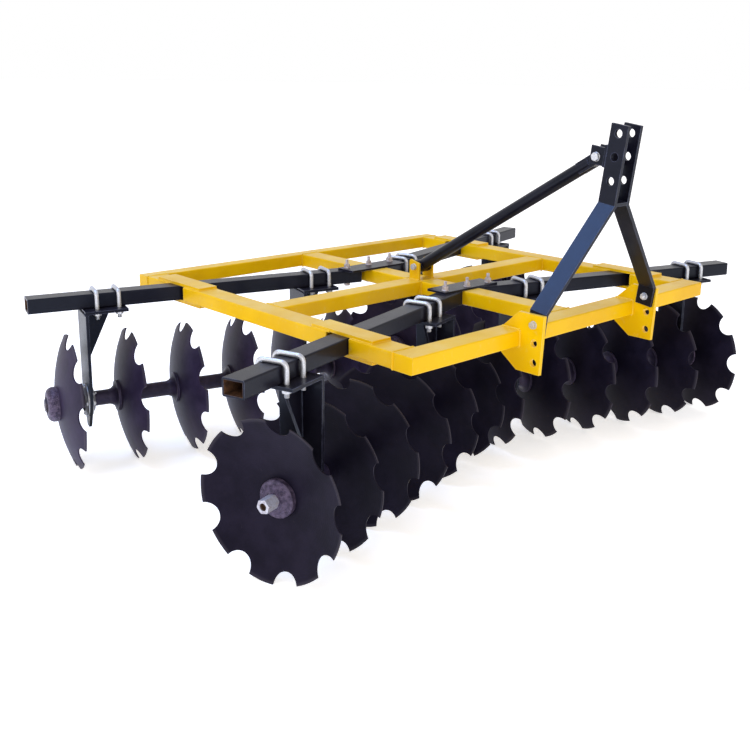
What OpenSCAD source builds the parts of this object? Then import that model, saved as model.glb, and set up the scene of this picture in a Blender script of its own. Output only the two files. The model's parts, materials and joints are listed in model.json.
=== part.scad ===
// Mounted opposed disc harrow, millimetres and degrees.
// +X is the machine's right, +Y is forward (towards the tractor), +Z is up, z = 0 is the floor.
// The middle rail's centre is the measuring point along Y until the last shift to the row's origin.

/* [Frame] */
// width of the frame over its side rails
frame_width = 1485; // [1300:5:1700]
// length of the frame over the front and rear rails
frame_length = 1458; // [1350:2:1650]
// height of the frame's top face over the floor
frame_top = 602; // [560:1:680]
// width of the side, front, middle and centre rails
rail_width = 80; // [60:1:100]
// width of the rear rail
rear_rail_width = 60; // [50:1:90]
// wall of the rails
rail_wall = 6; // [4:0.5:9]
// outside corner radius of the rails and beams
tube_corner = 5; // [2:0.5:8]
// drain hole in the closed rails
drain_hole = 12; // [6:1:20]

/* [Gang beams] */
// height of the gang beams and of every rail
beam_size = 50; // [44:1:60]
// width of the gang beams
beam_width = 70; // [60:1:80]
// set of a beam's centre line behind its axle
beam_back = 10; // [0:1:16]
// wall of the gang beams
beam_wall = 6; // [4:0.5:9]
// where the front beams' centre lines meet, ahead of the middle rail
front_beam_y = 211; // [180:1:260]
// where the rear beams' centre lines meet, behind the middle rail
rear_beam_y = 276; // [240:1:330]
// set of the front gangs
front_angle = 17; // [12:0.5:20]
// set of the rear gangs
rear_angle = 15; // [12:0.5:20]
// length of the front beams past their outer discs
front_beam_over = 167; // [100:1:240]
// length of the rear beams past their outer discs
rear_beam_over = 74; // [40:1:140]
// play between a beam and the ends of the cut rail, and the centre rail
beam_play = 3; // [1:0.5:8]

/* [Frame plates] */
// length of the plates that bridge a cut side rail
slot_plate_length = 270; // [220:2:330]
// width of the plates that bridge a cut side rail
slot_plate_width = 70; // [50:1:80]
// thickness of the plates that bridge a cut side rail
slot_plate_thick = 10; // [6:0.5:14]
// length across of the plates over the beams' inner ends
joint_plate_length = 270; // [220:2:330]
// width of the plates over the beams' inner ends
joint_plate_width = 86; // [60:1:120]
// thickness of the plates over the beams' inner ends
joint_plate_thick = 8; // [5:0.5:12]
// diameter of the studs through the joint plates
joint_stud_size = 12; // [10:0.5:14]
// distance of the outer studs from the machine's middle
joint_stud_out = 110; // [95:1:120]
// height of a stud above its joint plate
joint_stud_up = 32; // [26:1:40]
// set of the row of studs from the plate's middle, away from the middle rail
joint_row = 20; // [16:1:24]
// width across the flats of a stud's nut and head
joint_nut = 20; // [18:0.5:24]
// height of a stud's nut
joint_nut_height = 15; // [10:0.5:16]
// height of a stud's head under the beam
joint_head = 10; // [7:0.5:12]

/* [Discs] */
// diameter of a disc over its teeth
disc_diameter = 460; // [400:2:510]
// thickness of a disc
disc_thick = 4; // [3:0.25:6]
// inside radius of the dish
dish_radius = 554; // [500:2:700]
// diameter of the flat centre of a disc
disc_flat = 112; // [106:1:130]
// notches round a disc
disc_notches = 9; // [8:1:12]
// radius of a notch
notch_radius = 41; // [30:0.5:48]
// how far a notch's centre lies outside the rim
notch_out = 5; // [0:0.5:15]
// discs in a gang
gang_discs = 6; // [6:1:6]
// pitch of the discs along the axle
disc_pitch = 200; // [180:1:220]
// inner disc of a front gang, along the axle from the centre line
front_inner_disc = 76; // [76:1:110]
// inner disc of a rear gang, along the axle from the centre line
rear_inner_disc = 182; // [160:1:210]
// turn of the first disc's teeth
tooth_turn = 22; // [0:0.5:40]
// turn of each disc from the one before it, as their square bores let them sit
tooth_step = 90; // [0:90:270]

/* [Axles and spools] */
// side of the square axle
axle_side = 30; // [26:0.5:34]
// outside diameter of a spool
spool_diameter = 52; // [48:0.5:60]
// diameter of a spool's flared end
flare_diameter = 106; // [90:1:110]
// thickness of a flare's rim
flare_rim = 8; // [5:0.5:14]
// diameter of the end washer under the axle nut
washer_diameter = 108; // [92:1:110]
// thickness of the end washer's rim
washer_rim = 17; // [8:0.5:20]
// chamfer of the end washer's rim
washer_edge = 3; // [1:0.5:5]
// diameter of the end washer's coned boss at its foot
boss_foot = 86; // [74:1:88]
// diameter of the boss's face
boss_face = 60; // [52:1:70]
// height of the boss
boss_height = 10; // [6:0.5:14]
// diameter of the end cap under the axle's head
cap_diameter = 118; // [104:1:124]
// height of the end cap
cap_height = 34; // [28:0.5:40]
// rounding of the end cap's outer edge
cap_round = 22; // [10:0.5:24]
// diameter of the end cap's recess for the axle's head
cap_recess = 58; // [52:1:64]
// depth of the end cap's recess
cap_recess_depth = 6; // [3:0.5:8]
// width across the flats of the axle nut
axle_nut = 36; // [34:1:42]
// length of the axle nut
axle_nut_length = 44; // [36:1:54]
// diameter of the hollow in the axle nut's end
axle_nut_hollow = 19; // [14:0.5:22]
// depth of the hollow in the axle nut's end
axle_nut_depth = 14; // [8:1:20]
// width across the flats of the axle's head at the other end
axle_head_flats = 40; // [36:1:44]
// length of the axle's head
axle_head = 12; // [8:1:18]

/* [Hangers] */
// inner bearing, moved outwards from midway between its discs
inner_bearing_shift = 28; // [0:1:35]
// length of a hanger's top plate along the beam
hanger_length = 140; // [136:1:160]
// width of a hanger's top plate
hanger_width = 144; // [136:1:160]
// thickness of a hanger's plates
hanger_thick = 10; // [6:0.5:14]
// width of a hanger's leg at the axle
leg_width = 136; // [120:1:144]
// drop of a leg's tip below the axle
leg_tip = 94; // [84:1:104]
// width of a leg's tip
leg_tip_width = 30; // [20:1:44]
// reach of the gusset under the top plate
gusset_reach = 84; // [50:1:110]
// drop of the gusset down the leg
gusset_drop = 182; // [140:1:200]
// diameter of a U-bolt's rod
u_rod = 14; // [12:0.5:16]
// first U-bolt from the leg
u_first = 40; // [34:1:44]
// distance between the two U-bolts
u_pitch = 72; // [60:1:76]
// bend radius of a U-bolt, to the rod's centre
u_bend = 16; // [10:0.5:18]
// length of a U-bolt's legs under the top plate
u_tail = 26; // [20:1:36]
// width across the flats of a U-bolt nut
u_nut = 22; // [20:0.5:24]
// height of a U-bolt nut
u_nut_height = 11; // [9:0.5:13]
// clearance of a bolt or hub in its hole
hole_play = 0.5; // [0.3:0.1:1]

/* [Bearings] */
// outside diameter of a bearing hub
hub_diameter = 84; // [74:1:90]
// length of a bearing hub
hub_length = 38; // [34:1:50]
// diameter of a bearing's two flanges
hub_flange = 112; // [104:1:124]
// thickness of a bearing's flanges
hub_flange_thick = 4; // [3:0.5:8]
// running clearance of a spool in its bearing
running_play = 0.08; // [0.05:0.01:0.1]
// diameter of the bolts through a bearing's flanges
flange_bolt = 8; // [6:0.5:9]
// diameter of the circle of bolts
flange_bolt_circle = 96; // [94:1:100]
// width across the flats of the bolts' heads and nuts
flange_bolt_flats = 12; // [10:0.5:12.5]
// height of the bolts' heads and nuts
flange_bolt_head = 5.5; // [4:0.5:7]

/* [Mast] */
// width of the mast's flat bar
mast_width = 60; // [50:1:80]
// thickness of the mast's flat bar
mast_thick = 12; // [8:0.5:16]
// gap between the two bars at the top link
mast_gap = 54; // [46:1:60]
// forward lean of the mast
mast_lean = 8; // [0:0.5:12]
// foot of a bar below its bolt
mast_foot = 30; // [24:1:40]
// lower bend above the bolt
mast_bend_low = 36; // [30:1:60]
// upper bend above the bolt
mast_bend_high = 340; // [300:2:380]
// end of the bar above the bolt
mast_top = 582; // [560:2:640]
// top pin hole above the bolt
mast_hole_high = 555; // [545:1:557]
// middle hole above the bolt
mast_hole_mid = 485; // [470:1:490]
// low pin hole above the bolt
mast_hole_low = 412; // [395:1:420]
// diameter of the top link holes
top_hole = 26; // [19:0.5:28]
// thickness of the web between the bars at their upper bend
mast_web = 10; // [6:0.5:14]
// diameter of the mast and brace bolts
mast_bolt = 16; // [12:0.5:20]
// width across the flats of the mast and brace bolt heads
mast_bolt_head = 24; // [19:1:30]
// height of the mast and brace bolt heads and nuts
mast_bolt_high = 9.6; // [8:0.2:12]
// tail of a mast or brace bolt past its nut
mast_bolt_tail = 8; // [2:0.5:12]

/* [Hitch plates] */
// distance over the outer faces of the two hitch plates
hitch_spread = 606; // [560:2:700]
// thickness of a hitch plate
hitch_thick = 12; // [8:0.5:16]
// reach of a hitch plate ahead of the frame
hitch_reach = 88; // [84:1:110]
// rise of a hitch plate over the frame
hitch_rise = 56; // [52:1:75]
// drop of a hitch plate from the frame's top
hitch_drop = 124; // [118:1:150]
// reach of a hitch plate back along the front rail
hitch_back = 70; // [40:1:75]
// top back corner of a hitch plate, behind the frame's front
hitch_top_back = 6; // [0:1:20]
// foot's front corner of a hitch plate, back from its reach
hitch_toe = 12; // [0:1:24]
// foot's back corner of a hitch plate, behind the frame's front
hitch_heel = 11; // [0:1:30]
// depth of a hitch plate's back edge under the rail
hitch_cheek = 32; // [20:1:50]
// mast bolt ahead of the frame
mast_bolt_out = 50; // [46:1:56]
// mast bolt over the frame
mast_bolt_up = 25; // [20:1:32]
// lower link holes ahead of the frame
link_out = 54; // [46:1:58]
// upper one of the lower link holes, below the frame's top
link_down_1 = 30; // [26:1:36]
// lower one of the lower link holes, below the frame's top
link_down_2 = 90; // [80:1:94]
// diameter of the lower link holes
link_hole = 23; // [19:0.5:29]

/* [Brace] */
// diameter of the brace tube
brace_diameter = 42; // [34:0.5:48]
// diameter of the brace's end eyes
brace_eye = 46; // [42:0.5:54]
// length of the brace's flat tongue outside its tube
brace_neck = 40; // [38:1:60]
// depth of the brace's tongue
brace_tongue = 36; // [30:0.5:40]
// gap between the lugs on the middle rail
lug_gap = 60; // [50:1:70]
// thickness of a lug
lug_thick = 8; // [6:0.5:12]
// width of a lug
lug_width = 56; // [44:1:70]
// brace bolt over the frame
lug_bolt_up = 48; // [44:1:58]
// brace's upper bolt, behind the middle mast hole
bracket_back = 74; // [70:1:110]
// brace's upper bolt, below the middle mast hole
bracket_drop = 4; // [0:0.5:10]
// height of the mast bracket's ears
bracket_depth = 56; // [50:1:60]
// height of the mast bracket's web
bracket_web = 68; // [60:1:70]
// foot of the mast bracket, below the middle mast hole
bracket_foot = 38; // [34:1:40]
// reach of the mast bracket's ears past the brace's bolt
bracket_end = 22; // [16:1:28]
// thickness of the mast bracket's ears
bracket_thick = 8; // [5:0.5:10]
// side play of the brace's eyes
eye_play = 1; // [0.5:0.5:3]

/* [Hidden] */
$fn = 96;
half_w = frame_width / 2;
half_l = frame_length / 2;
rail_h = beam_size;
rail_z = frame_top - rail_h / 2;
frame_low = frame_top - rail_h;
disc_r = disc_diameter / 2;
front_outer_disc = front_inner_disc + (gang_discs - 1) * disc_pitch;
rear_outer_disc = rear_inner_disc + (gang_discs - 1) * disc_pitch;
axle_z = disc_r;
side_x = half_w - rail_width / 2;
front_plate_y = front_beam_y + side_x * tan(front_angle);
rear_plate_y = -rear_beam_y - side_x * tan(rear_angle);
front_slot_y = front_plate_y - beam_back / cos(front_angle);
rear_slot_y = rear_plate_y - beam_back / cos(rear_angle);
front_slot = beam_width / 2 / cos(front_angle) + rail_width / 2 * tan(front_angle) + beam_play;
rear_slot = beam_width / 2 / cos(rear_angle) + rail_width / 2 * tan(rear_angle) + beam_play;
dish_mid = sqrt(pow(dish_radius + disc_thick, 2) - pow(disc_flat / 2, 2));
dish_depth = dish_mid - sqrt(pow(dish_radius, 2) - pow(disc_r, 2));
mast_in = hitch_spread / 2 - hitch_thick - mast_thick / 2;
mast_up = mast_gap / 2 + mast_thick / 2;
mast_y = half_l + mast_bolt_out;
mast_z = frame_top + mast_bolt_up;
mid_hole_y = mast_y + mast_hole_mid * sin(mast_lean);
mid_hole_z = mast_z + mast_hole_mid * cos(mast_lean);
brace_top_y = mid_hole_y - bracket_back;
brace_top_z = mid_hole_z - bracket_drop;
brace_low_z = frame_top + lug_bolt_up;
brace_rise = brace_top_z - brace_low_z;
brace_run = sqrt(brace_top_y * brace_top_y + brace_rise * brace_rise);
u_gap = max(hole_play, u_bend - u_rod / 2 - tube_corner);
u_leg = beam_width / 2 + u_rod / 2 + u_gap;
brace_tilt = atan2(brace_rise, brace_top_y);
bracket_ear = bracket_back * cos(mast_lean) + bracket_end - mast_width / 2 - bracket_thick;
y_most = mast_y + mast_top * sin(mast_lean) + mast_width / 2 * cos(mast_lean);
rear_rim = rear_outer_disc - dish_depth + disc_thick;
y_least = -rear_beam_y - rear_rim * sin(rear_angle) - disc_r * cos(rear_angle);
y_shift = -(y_most + y_least) / 2;
RIGHT = 1;
LEFT = -1;
FRONT = 1;
REAR = -1;

YELLOW = [0.93, 0.68, 0.1];
BLACK = [0.07, 0.07, 0.08];
DISC = [0.13, 0.14, 0.17];
ZINC = [0.75, 0.76, 0.78];

// moves everything from the measuring point to the row's origin
module home() {
  translate([0, y_shift, 0]) children();
}

// flips to the left side
module on_side(side) {
  mirror([side == LEFT ? 1 : 0, 0, 0]) children();
}

// puts children on a gang: +X runs out along the beam, +Y is forward square to it
module on_gang(end, side) {
  home()
    on_side(side)
      translate([0, end == FRONT ? front_beam_y : -rear_beam_y, 0])
        rotate([0, 0, end == FRONT ? front_angle : -rear_angle])
          children();
}

// the rear gangs are built the other way round along the axle
module facing(end) {
  mirror([end == REAR ? 1 : 0, 0, 0]) children();
}

module round_rect(w, h, r) {
  square([w - 2 * r, h], center = true);
  square([w, h - 2 * r], center = true);
  for (i = [-1, 1], j = [-1, 1])
    translate([i * (w / 2 - r), j * (h / 2 - r)]) circle(r);
}

// open tube along +X from the origin
module open_tube(length, w, h, wall) {
  rotate([90, 0, 90])
    linear_extrude(length)
      difference() {
        round_rect(w, h, tube_corner);
        square([w - 2 * wall, h - 2 * wall], center = true);
      }
}

// tube along X about the origin with closed ends and a drain hole below
module closed_tube(length, w, h, wall) {
  difference() {
    translate([-length / 2, 0, 0])
      rotate([90, 0, 90])
        linear_extrude(length)
          round_rect(w, h, tube_corner);
    cube([length - 2 * wall, w - 2 * wall, h - 2 * wall], center = true);
    translate([0, 0, -h]) cylinder(d = drain_hole, h = h);
  }
}

module rail_along(y0, y1, x, w) {
  translate([x, y0, rail_z])
    rotate([0, 0, 90])
      open_tube(y1 - y0, w, rail_h, rail_wall);
}

module front_rail() {
  color(YELLOW)
    home()
      translate([0, half_l - rail_width / 2, rail_z])
        closed_tube(frame_width, rail_width, rail_h, rail_wall);
}

module rear_rail() {
  color(YELLOW)
    home()
      translate([0, -half_l + rear_rail_width / 2, rail_z])
        closed_tube(frame_width, rear_rail_width, rail_h, rail_wall);
}

module middle_rail() {
  color(YELLOW)
    home()
      translate([-half_w + rail_width, 0, rail_z])
        open_tube(frame_width - 2 * rail_width, rail_width, rail_h, rail_wall);
}

module centre_rails() {
  color(YELLOW)
    difference() {
      home() {
        rail_along(rail_width / 2, half_l - rail_width, 0, rail_width);
        rail_along(-half_l + rear_rail_width, -rail_width / 2, 0, rail_width);
      }
      for (end = [FRONT, REAR]) joint_holes(end);
    }
}

module side_rail(side) {
  color(YELLOW)
    home()
      on_side(side) {
        rail_along(front_slot_y + front_slot, half_l - rail_width, side_x, rail_width);
        rail_along(rear_slot_y + rear_slot, front_slot_y - front_slot, side_x, rail_width);
        rail_along(-half_l + rear_rail_width, rear_slot_y - rear_slot, side_x, rail_width);
      }
}

module slot_plate(y, z) {
  translate([side_x, y, z + slot_plate_thick / 2])
    cube([slot_plate_width, slot_plate_length, slot_plate_thick], center = true);
}

module slot_plates(side) {
  color(YELLOW)
    home()
      on_side(side)
        for (z = [frame_top, frame_low - slot_plate_thick]) {
          slot_plate(front_plate_y, z);
          slot_plate(rear_plate_y, z);
        }
}

// a row of studs over the beams' inner ends and the centre rail
module at_studs(end) {
  home()
    translate([0, end == FRONT ? front_beam_y + joint_row : -rear_beam_y - joint_row, 0])
      for (i = [-1, 0, 1])
        translate([i * joint_stud_out, 0, 0]) children();
}

module joint_holes(end) {
  at_studs(end)
    translate([0, 0, frame_low - 1])
      cylinder(d = joint_stud_size + 2 * hole_play, h = beam_size + joint_plate_thick + 2);
}

module joint_plates() {
  color(BLACK)
    difference() {
      home()
        for (y = [front_beam_y, -rear_beam_y])
          translate([0, y, frame_top + joint_plate_thick / 2])
            cube([joint_plate_length, joint_plate_width, joint_plate_thick], center = true);
      for (end = [FRONT, REAR]) joint_holes(end);
    }
}

// studs down through the plate and the beam or rail, head below and nut above
module joint_studs() {
  color(ZINC)
    for (end = [FRONT, REAR])
      at_studs(end) {
        translate([0, 0, frame_low - joint_head])
          cylinder(d = joint_nut / cos(30), h = joint_head, $fn = 6);
        translate([0, 0, frame_low])
          cylinder(d = joint_stud_size, h = beam_size + joint_plate_thick + joint_stud_up);
        translate([0, 0, frame_top + joint_plate_thick])
          cylinder(d = joint_nut / cos(30), h = joint_nut_height, $fn = 6);
      }
}

module hitch_plate(side) {
  color(YELLOW)
    home()
      on_side(side)
        translate([hitch_spread / 2 - hitch_thick, half_l, frame_top])
          rotate([90, 0, 90])
            linear_extrude(hitch_thick)
              difference() {
                polygon([[-hitch_back, 0], [-hitch_top_back, hitch_rise], [hitch_reach, hitch_rise],
                  [hitch_reach - hitch_toe, -hitch_drop], [-hitch_heel, -hitch_drop],
                  [-hitch_back, -rail_h - hitch_cheek], [-hitch_back, -rail_h], [0, -rail_h], [0, 0]]);
                translate([mast_bolt_out, mast_bolt_up]) circle(d = mast_bolt + 2 * hole_play);
                translate([link_out, -link_down_1]) circle(d = link_hole);
                translate([link_out, -link_down_2]) circle(d = link_hole);
              }
}

module brace_lugs() {
  color(YELLOW)
    home()
      for (side = [RIGHT, LEFT])
        on_side(side)
          translate([lug_gap / 2, 0, frame_top])
            rotate([90, 0, 90])
              linear_extrude(lug_thick)
                difference() {
                  union() {
                    translate([-lug_width / 2, 0]) square([lug_width, lug_bolt_up]);
                    translate([0, lug_bolt_up]) circle(d = lug_width);
                  }
                  translate([0, lug_bolt_up]) circle(d = mast_bolt + 2 * hole_play);
                }
}

// across, up: the bent bar's outline as seen from the front
module mast_outline() {
  h = mast_thick / 2;
  bend = atan2(mast_in - mast_up, mast_bend_high - mast_bend_low);
  k = h * tan(bend / 2);
  polygon([[mast_in + h, -mast_foot], [mast_in + h, mast_bend_low + k], [mast_up + h, mast_bend_high + k],
    [mast_up + h, mast_top], [mast_up - h, mast_top], [mast_up - h, mast_bend_high - k],
    [mast_in - h, mast_bend_low - k], [mast_in - h, -mast_foot]]);
}

module on_mast() {
  home()
    translate([0, mast_y, mast_z])
      rotate([-mast_lean, 0, 0])
        children();
}

module cross_pin(d, up, length) {
  translate([-length / 2, 0, up])
    rotate([0, 90, 0])
      cylinder(d = d, h = length);
}

module mast_leg(side) {
  color(BLACK)
    on_mast()
      on_side(side)
        difference() {
          translate([0, mast_width / 2, 0])
            rotate([90, 0, 0])
              linear_extrude(mast_width)
                mast_outline();
          cross_pin(mast_bolt + 2 * hole_play, 0, hitch_spread);
          cross_pin(top_hole, mast_hole_mid, hitch_spread);
          cross_pin(top_hole, mast_hole_low, hitch_spread);
          cross_pin(top_hole, mast_hole_high, hitch_spread);
        }
}

// channel welded across the bars' back edges, its ears taking the brace, and the web low between the bars
module mast_bracket() {
  color(BLACK) {
    difference() {
      on_mast()
        translate([0, -mast_width / 2 - bracket_thick, mast_hole_mid - bracket_foot]) {
          translate([-mast_up - mast_thick / 2, 0, 0])
            cube([2 * mast_up + mast_thick, bracket_thick, bracket_web]);
          for (x = [-mast_gap / 2, mast_gap / 2 - bracket_thick])
            translate([x, -bracket_ear, 0]) cube([bracket_thick, bracket_ear, bracket_depth]);
        }
      home()
        translate([-mast_gap, brace_top_y, brace_top_z])
          rotate([0, 90, 0])
            cylinder(d = mast_bolt + 2 * hole_play, h = 2 * mast_gap);
    }
    on_mast()
      translate([-mast_gap / 2, -mast_width / 2, mast_bend_high])
        cube([mast_gap, mast_width, mast_web]);
  }
}

module mast_brace() {
  low = lug_gap - 2 * eye_play;
  high = mast_gap - 2 * bracket_thick - 2 * eye_play;
  color(BLACK)
    home()
      translate([0, 0, brace_low_z])
        rotate([brace_tilt, 0, 0])
          difference() {
            union() {
              rotate([-90, 0, 0]) cylinder(d = brace_diameter, h = brace_run - brace_neck);
              translate([-high / 2, brace_run - brace_neck - brace_eye, -brace_tongue / 2])
                cube([high, brace_neck + brace_eye, brace_tongue]);
              translate([-low / 2, 0, 0]) rotate([0, 90, 0]) cylinder(d = brace_eye, h = low);
              translate([-high / 2, brace_run, 0]) rotate([0, 90, 0]) cylinder(d = brace_eye, h = high);
            }
            for (run = [0, brace_run])
              translate([-lug_gap, run, 0])
                rotate([0, 90, 0])
                  cylinder(d = mast_bolt + 2 * hole_play, h = 2 * lug_gap);
          }
}

// headed bolt with its nut, along X about the origin, held faces at +-grip / 2
module through_bolt(grip) {
  rotate([0, 90, 0]) {
    for (end = [-grip / 2 - mast_bolt_high, grip / 2])
      translate([0, 0, end]) cylinder(d = mast_bolt_head / cos(30), h = mast_bolt_high, $fn = 6);
    translate([0, 0, -grip / 2 - mast_bolt_high])
      cylinder(d = mast_bolt, h = grip + 2 * mast_bolt_high + mast_bolt_tail);
  }
}

module mast_bolts() {
  color(ZINC)
    home() {
      for (side = [RIGHT, LEFT])
        on_side(side)
          translate([hitch_spread / 2 - (hitch_thick + mast_thick) / 2, mast_y, mast_z])
            mirror([1, 0, 0]) through_bolt(hitch_thick + mast_thick);
      translate([0, brace_top_y, brace_top_z]) mirror([1, 0, 0]) through_bolt(mast_gap);
      translate([0, 0, brace_low_z]) mirror([1, 0, 0]) through_bolt(lug_gap + 2 * lug_thick);
    }
}

module beam(end, side) {
  turn = end == FRONT ? front_angle : rear_angle;
  reach = end == FRONT ? front_outer_disc + front_beam_over : rear_outer_disc + rear_beam_over;
  inner = (rail_width / 2 + beam_play + (beam_width / 2 - end * beam_back) * sin(turn)) / cos(turn);
  color(BLACK)
    difference() {
      on_gang(end, side)
        translate([inner, -beam_back, rail_z])
          open_tube(reach - inner, beam_width, beam_size, beam_wall);
      joint_holes(end);
    }
}

function outer_disc(end) = end == FRONT ? front_outer_disc : rear_outer_disc;
// hanger legs along the beam, outer then inner
function leg_at(end, i) =
  outer_disc(end) - disc_pitch / 2 - i * ((gang_discs - 2) * disc_pitch - inner_bearing_shift);

// the four bolts through a bearing's flanges and the leg between them
module at_flange_bolts() {
  for (k = [0 : 3])
    rotate([k * 90, 0, 0])
      translate([0, 0, flange_bolt_circle / 2])
        rotate([0, 90, 0])
          children();
}

module hanger() {
  difference() {
    union() {
      translate([-hanger_thick / 2, -hanger_width / 2, frame_low - hanger_thick])
        cube([hanger_length, hanger_width, hanger_thick]);
      translate([-hanger_thick / 2, 0, 0])
        rotate([90, 0, 90])
          linear_extrude(hanger_thick)
            polygon([[-hanger_width / 2, frame_low - hanger_thick], [-leg_width / 2, axle_z],
              [-leg_tip_width / 2, axle_z - leg_tip], [leg_tip_width / 2, axle_z - leg_tip],
              [leg_width / 2, axle_z], [hanger_width / 2, frame_low - hanger_thick]]);
      translate([hanger_thick / 2, hanger_thick / 2, frame_low - hanger_thick])
        rotate([90, 0, 0])
          linear_extrude(hanger_thick)
            polygon([[0, 0], [gusset_reach, 0], [0, -gusset_drop]]);
    }
    translate([0, 0, axle_z])
      at_flange_bolts()
        cylinder(d = flange_bolt + 2 * hole_play, h = 3 * hanger_thick, center = true);
    translate([-hanger_thick, 0, axle_z])
      rotate([0, 90, 0])
        cylinder(d = hub_diameter + 2 * hole_play, h = 2 * hanger_thick);
    for (i = [0, 1], j = [-1, 1])
      translate([u_first + i * u_pitch, j * u_leg - beam_back, frame_low - 2 * hanger_thick])
        cylinder(d = u_rod + 2 * hole_play, h = 3 * hanger_thick);
  }
}

module hangers(end, side) {
  color(BLACK)
    on_gang(end, side)
      for (i = [0, 1])
        translate([leg_at(end, i), 0, 0]) facing(end) hanger();
}

// one U-bolt over the beam with its two nuts
module u_bolt() {
  top = frame_top + u_rod / 2;
  foot = frame_low - hanger_thick - u_tail;
  for (j = [-1, 1]) {
    translate([0, j * u_leg, foot]) cylinder(d = u_rod, h = top - u_bend - foot);
    translate([0, j * u_leg, frame_low - hanger_thick - u_nut_height])
      cylinder(d = u_nut / cos(30), h = u_nut_height, $fn = 6);
    translate([0, j * (u_leg - u_bend), top - u_bend])
      rotate([0, -90, 0])
        rotate([0, 0, j > 0 ? 0 : -90])
          rotate_extrude(angle = 90)
            translate([u_bend, 0]) circle(d = u_rod);
  }
  translate([0, -u_leg + u_bend, top]) rotate([-90, 0, 0]) cylinder(d = u_rod, h = 2 * (u_leg - u_bend));
}

module u_bolts(end, side) {
  color(ZINC)
    on_gang(end, side)
      for (i = [0, 1])
        translate([leg_at(end, i), 0, 0])
          facing(end)
            for (k = [0, 1])
              translate([u_first + k * u_pitch, -beam_back, 0]) u_bolt();
}

module bearing() {
  rotate([0, 90, 0])
    difference() {
      union() {
        translate([0, 0, -hub_length / 2]) cylinder(d = hub_diameter, h = hub_length);
        for (z = [hanger_thick / 2, -hanger_thick / 2 - hub_flange_thick])
          translate([0, 0, z]) cylinder(d = hub_flange, h = hub_flange_thick);
        rotate([0, -90, 0])
          at_flange_bolts() {
            cylinder(d = flange_bolt, h = hanger_thick + hub_flange_thick, center = true);
            for (k = [0, 1])
              mirror([0, 0, k])
                translate([0, 0, hanger_thick / 2 + hub_flange_thick])
                  cylinder(d = flange_bolt_flats / cos(30), h = flange_bolt_head, $fn = 6);
          }
      }
      translate([0, 0, -hub_length]) cylinder(d = spool_diameter + 2 * running_play, h = 2 * hub_length);
    }
}

module bearings(end, side) {
  color(ZINC)
    on_gang(end, side)
      for (i = [0, 1])
        translate([leg_at(end, i), 0, axle_z]) facing(end) bearing();
}

// first disc's flat centre on the origin, dish towards +X, gang running to -X on the front gangs
module on_axle(end, side) {
  on_gang(end, side)
    translate([outer_disc(end), 0, axle_z])
      children();
}

module square_bore(x0, x1) {
  translate([x0, -axle_side / 2, -axle_side / 2]) cube([x1 - x0, axle_side, axle_side]);
}

module disc(turn) {
  difference() {
    union() {
      rotate([0, 90, 0])
        intersection() {
          translate([0, 0, dish_mid])
            difference() {
              sphere(r = dish_radius + disc_thick);
              sphere(r = dish_radius);
            }
          difference() {
            cylinder(r = disc_r, h = dish_radius / 2);
            cylinder(d = disc_flat - 2, h = dish_radius);
          }
        }
      rotate([0, 90, 0]) cylinder(d = disc_flat, h = disc_thick);
    }
    for (k = [0 : disc_notches - 1])
      rotate([turn + (k + 0.5) * 360 / disc_notches, 0, 0])
        translate([-disc_thick, disc_r + notch_out, 0])
          rotate([0, 90, 0])
            cylinder(r = notch_radius, h = dish_radius / 2);
    square_bore(-1, disc_thick + 1);
  }
}

// discs sit on the square axle a quarter turn apart
module discs(end, side) {
  color(DISC)
    on_axle(end, side)
      for (i = [0 : gang_discs - 1])
        translate([-i * disc_pitch, 0, 0]) facing(end) disc(tooth_turn + tooth_step * i);
}

// half section of a spool with its bell-mouthed end at the bottom
module flare_profile(length) {
  bell = (flare_diameter - spool_diameter) / 2;
  square([spool_diameter / 2, length]);
  difference() {
    square([flare_diameter / 2, flare_rim + bell]);
    translate([flare_diameter / 2, flare_rim + bell]) circle(bell);
  }
}

// spool from a disc's back at the origin to the next disc's hollow side
module spool() {
  length = disc_pitch - disc_thick;
  difference() {
    rotate([0, -90, 0]) rotate_extrude() flare_profile(length);
    square_bore(-length - 1, 1);
  }
}

// end washer in the last disc's hollow: a chamfered rim and a coned boss for the nut
module end_washer() {
  top = washer_rim + boss_height;
  difference() {
    translate([disc_thick, 0, 0])
      rotate([0, 90, 0])
        rotate_extrude()
          polygon([[0, 0], [washer_diameter / 2, 0], [washer_diameter / 2, washer_rim - washer_edge],
            [washer_diameter / 2 - washer_edge, washer_rim], [boss_foot / 2, washer_rim],
            [boss_face / 2, top], [0, top]]);
    square_bore(0, disc_thick + top + 1);
  }
}

// half section of the end cap, its outer edge rounded
module cap_profile() {
  square([cap_diameter / 2 - cap_round, cap_height]);
  square([cap_diameter / 2, cap_height - cap_round]);
  translate([cap_diameter / 2 - cap_round, cap_height - cap_round])
    intersection() {
      circle(cap_round);
      square(cap_round);
    }
}

// end cap on the first disc's back, with a recess for the axle's head
module end_cap() {
  difference() {
    rotate([0, -90, 0])
      difference() {
        rotate_extrude() cap_profile();
        translate([0, 0, cap_height - cap_recess_depth]) cylinder(d = cap_recess, h = cap_height);
      }
    square_bore(-cap_height - 1, 1);
  }
}

// the gang from its hollow end to its back end, hollow end's disc on the origin
module gang_from_hollow(end) {
  translate([end == FRONT ? 0 : -(gang_discs - 1) * disc_pitch, 0, 0]) facing(end) children();
}

module spools(end, side) {
  color(BLACK)
    on_axle(end, side)
      gang_from_hollow(end) {
        for (i = [0 : gang_discs - 2])
          translate([-i * disc_pitch, 0, 0]) spool();
        end_washer();
        translate([-(gang_discs - 1) * disc_pitch, 0, 0]) end_cap();
      }
}

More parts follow.
